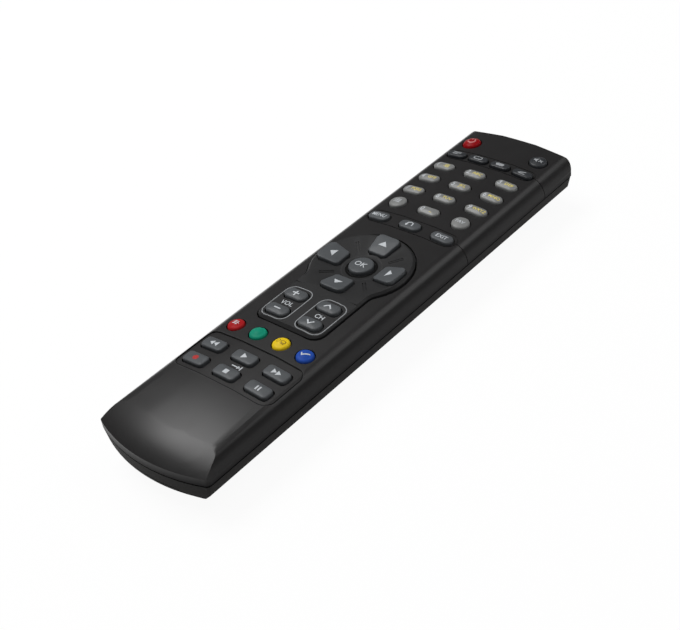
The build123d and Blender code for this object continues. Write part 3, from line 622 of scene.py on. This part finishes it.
legendSet = dict(
    digitHeight=2.3, digitX=-2.55, lettersHeight=1.45, lettersX=1.35, squeezeLong=0.86, wordHeight=1.75,
    okHeight=2.3, arrowBase=3.6, arrowHeight=2.1, stroke=0.5)
letterGroups = {
    1: ".@", 2: "ABC", 3: "DEF", 4: "GHI", 5: "JKL", 6: "MNO", 7: "PQRS", 8: "TUV", 9: "WXYZ", 0: "_"}
stroke = legendSet["stroke"]
legends = {
    "power_key": [("roseInk", (
        strokeShape(arcPoints(0, 0, 1.45, 122, 418, 24), 0.42) + blockShape(0, 1.05, 0.42, 1.9)))],
    "mute_key": [("greyInk", (
        blockShape(-1.35, 0, 0.7, 1.0) + [[(-1.0, -0.5), (-0.1, -1.25), (-0.1, 1.25), (-1.0, 0.5)]]
        + strokeShape([(0.5, -0.65), (1.8, 0.65)], 0.36) + strokeShape([(0.5, 0.65), (1.8, -0.65)], 0.36)))],
    "function_1_key": [("greyInk", (
        blockShape(0, 0.55, 3.4, 0.34) + blockShape(0, 0, 3.4, 0.34) + blockShape(-0.6, -0.55, 2.2, 0.34)))],
    "function_2_key": [("greyInk", roundedLine(0, 0, 3.4, 1.5, 0.74, 0.36))],
    "function_3_key": [("greyInk", [
        arcPoints(1.0, 0, 0.75, -90, 90, 8) + arcPoints(-1.0, 0, 0.75, 90, 270, 8)])],
    "function_4_key": [("greyInk", (
        strokeShape([(-1.5, -0.6), (1.3, 0.65)], 0.5) + blockShape(0.2, -0.75, 2.2, 0.26)))],
    "list_key": [("paleInk", [
        corners for y in (0.8, 0.0, -0.8)
        for corners in blockShape(-1.25, y, 0.4, 0.36) + blockShape(0.25, y, 1.9, 0.36)])],
    "favourite_key": [("paleInk", wordShape("FAV", 0, 0, 1.5))],
    "menu_key": [("paleInk", wordShape("MENU", 0, 0, legendSet["wordHeight"], 0.9))],
    "back_key": [("paleInk", (
        strokeShape([(-1.25, -0.55)] + arcPoints(0, 0.05, 1.1, 180, 0, 14) + [(1.1, -0.75)], 0.42)
        + triangleShape(-1.15, -0.75, 1.3, 1.0, 270)))],
    "exit_key": [("paleInk", wordShape("EXIT", 0, 0, legendSet["wordHeight"], 0.95))],
    "ok_key": [("paleInk", wordShape("OK", 0, 0, legendSet["okHeight"]))],
    "volume_up_key": [("paleInk", (
        blockShape(0, 0, 2.7, stroke) + blockShape(0, 0.8, stroke, 1.1) + blockShape(0, -0.8, stroke, 1.1)))],
    "volume_down_key": [("paleInk", blockShape(0, 0, 2.7, stroke))],
    "channel_up_key": [("paleInk", strokeShape([(-1.45, -0.7), (0, 0.75), (1.45, -0.7)], stroke))],
    "channel_down_key": [("paleInk", strokeShape([(-1.45, 0.7), (0, -0.75), (1.45, 0.7)], stroke))],
    "red_key": [("paleInk", (
        blockShape(-0.1, 0.75, 2.0, 0.34) + blockShape(0.1, 0.1, 2.4, 0.34)
        + blockShape(-0.1, -0.55, 2.0, 0.34)))],
    "yellow_key": [("brownInk", (
        roundedLine(-1.05, 0.2, 1.3, 1.3, 0.6, 0.26) + roundedLine(0.95, 0.3, 1.5, 1.1, 0.4, 0.26)
        + blockShape(0.95, -0.65, 1.5, 0.26)))],
    "blue_key": [("paleInk", strokeShape([(-1.35, 0.15), (-0.55, -0.75), (1.55, 0.95)], 0.46))],
    "rewind_key": [("paleInk", (
        triangleShape(-0.95, 0, 2.1, 1.7, 180) + triangleShape(0.85, 0, 2.1, 1.7, 180)))],
    "play_key": [("paleInk", triangleShape(0.1, 0, 2.4, 2.0))],
    "fast_forward_key": [("paleInk", triangleShape(-0.85, 0, 2.1, 1.7) + triangleShape(0.95, 0, 2.1, 1.7))],
    "record_key": [("redInk", discShape(0, 0, 1.05))],
    "stop_key": [("paleInk", blockShape(0, 0, 1.75, 1.75))],
    "pause_key": [("paleInk", blockShape(-0.56, 0, 0.54, 1.85) + blockShape(0.56, 0, 0.54, 1.85))]}
for digit, letters in letterGroups.items():
    squeeze = legendSet["squeezeLong"] if len(letters) > 3 else 1.0
    legends[f"digit_{digit}_key"] = [
        ("paleInk", wordShape(str(digit), legendSet["digitX"], 0, legendSet["digitHeight"])),
        ("yellowInk", wordShape(letters, legendSet["lettersX"], 0, legendSet["lettersHeight"], squeeze))]
for node, turn in arrowTurns.items():
    arrow = triangleShape(0, 0, legendSet["arrowBase"], legendSet["arrowHeight"], turn + 90)
    legends[node] = [("paleInk", arrow)]

for node, layers in legends.items():
    x, y, _ = keyInputs[node]["Place"]
    for layer, (finish, shapes) in enumerate(layers):
        addInk(f"{node}_legend_{layer + 1}", shapes, (x / mm, y / mm), nodeBody[node], finish,
               surfaceOf(keyCaps[node]))

panelSurface, caseSurface = surfaceOf(shells["navigation_panel"]), surfaceOf(shells["top_case"])
panelInk = dict(boxX=7.45, boxY=-25.4, boxWide=11.0, boxHigh=16.9, boxCorner=3.2, boxLine=0.28,
                wordX=7.17, wordY=-25.65, wordHeight=1.9)
for side, word in ((-1, "VOL"), (1, "CH")):
    box = roundedLine(side * panelInk["boxX"], panelInk["boxY"], panelInk["boxWide"], panelInk["boxHigh"],
                      panelInk["boxCorner"], panelInk["boxLine"])
    words = wordShape(word, side * panelInk["wordX"], panelInk["wordY"], panelInk["wordHeight"])
    addInk(f"panel_box_{word.lower()}", box, (0, 0), "handset", "greyInk", panelSurface)
    addInk(f"panel_word_{word.lower()}", words, (0, 0), "handset", "paleInk", panelSurface)

# Painted shade in the gap round OK, and a painted highlight along the step of the dish's floor
dishRings = dict(middle=(0.0, 4.0), steps=60, gap=dict(radius=5.35, wide=0.75, finish="paintedShade"),
                 floor=dict(radius=7.05, wide=0.22, finish="paintedHighlight"))
for name in ("gap", "floor"):
    values = dishRings[name]
    circle = arcPoints(*dishRings["middle"], values["radius"], 0, 360, dishRings["steps"])[:-1]
    ring = strokeShape(circle, values["wide"], closed=True)
    addInk(f"dish_{name}_ring", ring, (0, 0), "handset", values["finish"], panelSurface)

# Painted shade and a painted highlight on the lip round the playback pocket; out is how far a line's middle
# runs outside the pocket
pocketLines = dict(y=-56.95, wide=41.6, high=18.7, corner=3.5,
                   shade=dict(out=0.17, wide=0.26, finish="paintedShade"),
                   rimHighlight=dict(out=0.42, wide=0.20, finish="paintedHighlight"))
for name in ("shade", "rimHighlight"):
    values = pocketLines[name]
    out = values["out"]
    line = roundedLine(0, pocketLines["y"], pocketLines["wide"] + 2 * out, pocketLines["high"] + 2 * out,
                       pocketLines["corner"] + out, values["wide"])
    addInk(f"pocket_{name}_line", line, (0, 0), "handset", values["finish"], caseSurface)

skipMark = dict(y=-57.7, length=4.4, line=0.42, bar=1.7, stemShort=1.6, stemX=-0.35,
                tipBase=1.5, tipHeight=1.1, tipIn=1.0, barIn=0.1)
half = skipMark["length"] / 2
mark = (blockShape(skipMark["stemX"], 0, skipMark["length"] - skipMark["stemShort"], skipMark["line"])
        + triangleShape(half - skipMark["tipIn"], 0, skipMark["tipBase"], skipMark["tipHeight"])
        + blockShape(half - skipMark["barIn"], 0, skipMark["line"], skipMark["bar"]))
addInk("case_skip_mark", mark, (0, skipMark["y"]), "handset", "paleInk", caseSurface)
print("legends:", inkCount)


# Stage, light and camera: places in metres, power in watts, turns in degrees, the lens in millimetres

cameraSet = dict(place=(0.23831, -0.23873, 0.25959), turn=(52.4384, 7.2625, 40.5692), lens=64.548,
                 sensor=36.0, nearest=0.01)
lampSet = {
    "leftBox": dict(place=(-0.572, -0.015, 1.055), aim=(0, -0.02, 0), wide=0.72, high=0.55, power=12.8),
    "topBox": dict(place=(0.15, -0.30, 1.15), aim=(0, 0, 0), wide=0.7, high=0.7, power=1.4),
    "rightBox": dict(place=(0.400, 0.640, 0.800), aim=(0, 0, 0), wide=0.5, high=0.5, power=2.1)}
floorSet = dict(size=4.0, colour=(0.80, 0.80, 0.80), shadow=0.06)
worldSet = dict(light=0.30, seen=1.0, high=0.08, horizon=0.18, fade=(0.02, 0.40))


def aimed(place, aim):
    return (Vector(aim) - Vector(place)).to_track_quat("-Z", "Y").to_euler()


for name, values in lampSet.items():
    light = bpy.data.lights.new(name, "AREA")
    light.shape, light.size, light.size_y = "RECTANGLE", values["wide"], values["high"]
    light.energy = values["power"]
    lamp = bpy.data.objects.new(name, light)
    lamp.location, lamp.rotation_euler = values["place"], aimed(values["place"], values["aim"])
    bpy.context.scene.collection.objects.link(lamp)


seenRays = ("Is Camera Ray", "Is Glossy Ray", "Is Transmission Ray")


def paleFloor():
    half = floorSet["size"] / 2
    mesh = bpy.data.meshes.new("floor")
    corners = [(-half, -half, 0), (half, -half, 0), (half, half, 0), (-half, half, 0)]
    mesh.from_pydata(corners, [], [(0, 1, 2, 3)])
    floor = bpy.data.objects.new("floor", mesh)
    bpy.context.scene.collection.objects.link(floor)
    material = bpy.data.materials.new("floor")
    material.use_nodes = True
    graph = Graph(material.node_tree)
    material.node_tree.nodes.clear()
    lit = graph.add("ShaderNodeBsdfDiffuse", None, {"Color": (*floorSet["colour"], 1)})
    white = graph.add("ShaderNodeEmission", None, {"Color": (1, 1, 1, 1), "Strength": 1.0})
    path = [graph.add("ShaderNodeLightPath", None, None, output=name) for name in seenRays]
    seen = (path[0] + path[1] + path[2]).clamped()
    mixed = graph.add("ShaderNodeMixShader", None, {0: seen * (1 - floorSet["shadow"]), 1: lit, 2: white})
    out = material.node_tree.nodes.new("ShaderNodeOutputMaterial")
    material.node_tree.links.new(mixed.socket, out.inputs[0])
    mesh.materials.append(material)


# White to the camera, and to reflections a pale horizon that darkens overhead
def paleWorld():
    world = bpy.data.worlds.new("world")
    bpy.context.scene.world = world
    world.use_nodes = True
    graph = Graph(world.node_tree)
    world.node_tree.nodes.clear()
    soft = graph.add("ShaderNodeBackground", None, {"Color": (1, 1, 1, 1), "Strength": worldSet["light"]})
    way = graph.add("ShaderNodeTexCoord", None, None, output=0)
    height = graph.add("ShaderNodeSeparateXYZ", None, {0: way}, output=2)
    start, end = worldSet["fade"]
    fall = ((height - start) / (end - start)).clamped()
    glow = worldSet["horizon"] - (worldSet["horizon"] - worldSet["high"]) * fall
    room = graph.add("ShaderNodeBackground", None, {"Color": (1, 1, 1, 1), "Strength": glow})
    white = graph.add("ShaderNodeBackground", None, {"Color": (1, 1, 1, 1), "Strength": worldSet["seen"]})
    path = [graph.add("ShaderNodeLightPath", None, None, output=name) for name in seenRays]
    mirrored = (path[1] + path[2]).clamped()
    lit = graph.add("ShaderNodeMixShader", None, {0: mirrored, 1: soft, 2: room})
    mixed = graph.add("ShaderNodeMixShader", None, {0: path[0], 1: lit, 2: white})
    out = world.node_tree.nodes.new("ShaderNodeOutputWorld")
    world.node_tree.links.new(mixed.socket, out.inputs[0])


paleFloor()
paleWorld()
lens = bpy.data.cameras.new("camera")
lens.lens, lens.sensor_width, lens.clip_start = cameraSet["lens"], cameraSet["sensor"], cameraSet["nearest"]
camera = bpy.data.objects.new("camera", lens)
camera.location = cameraSet["place"]
camera.rotation_euler = [math.radians(a) for a in cameraSet["turn"]]
bpy.context.scene.collection.objects.link(camera)
bpy.context.scene.camera = camera
bpy.context.scene.view_settings.view_transform = "Standard"

print("done")
